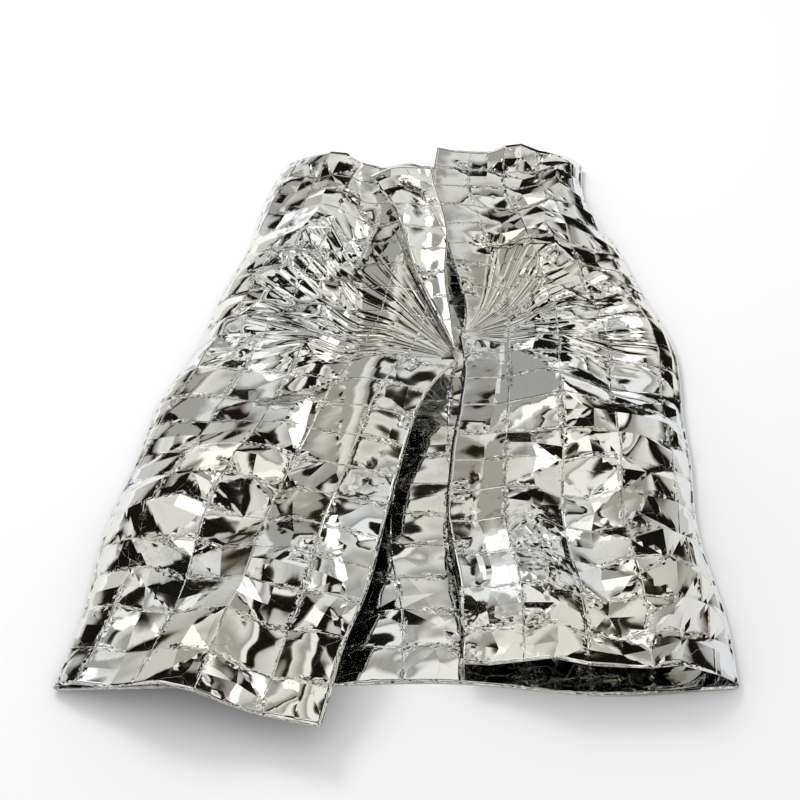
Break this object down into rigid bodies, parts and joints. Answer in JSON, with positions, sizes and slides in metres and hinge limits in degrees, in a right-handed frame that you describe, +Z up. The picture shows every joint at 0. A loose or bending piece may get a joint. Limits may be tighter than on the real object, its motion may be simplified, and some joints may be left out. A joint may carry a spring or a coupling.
{
  "type": "emergency foil blanket",
  "caption": "Thin metallised foil blanket laid flat as a wrap, its fronts folded in over the back and a lapel turned back, with pack creases, pleats and long folds.",
  "frame": {"origin": "middle of the footprint, on the floor", "axes": "+Y runs from the hem to the neck end of the laid wrap, +X across it to the right front, +Z up off the floor"},
  "size_m": [1.1402, 1.687, 0.1203],
  "materials": {
    "foil": "mirror-bright metallised film, silver on both sides"
  },
  "bodies": {
    "root": {"foil_sheet": "foil"}
  },
  "joints": []
}
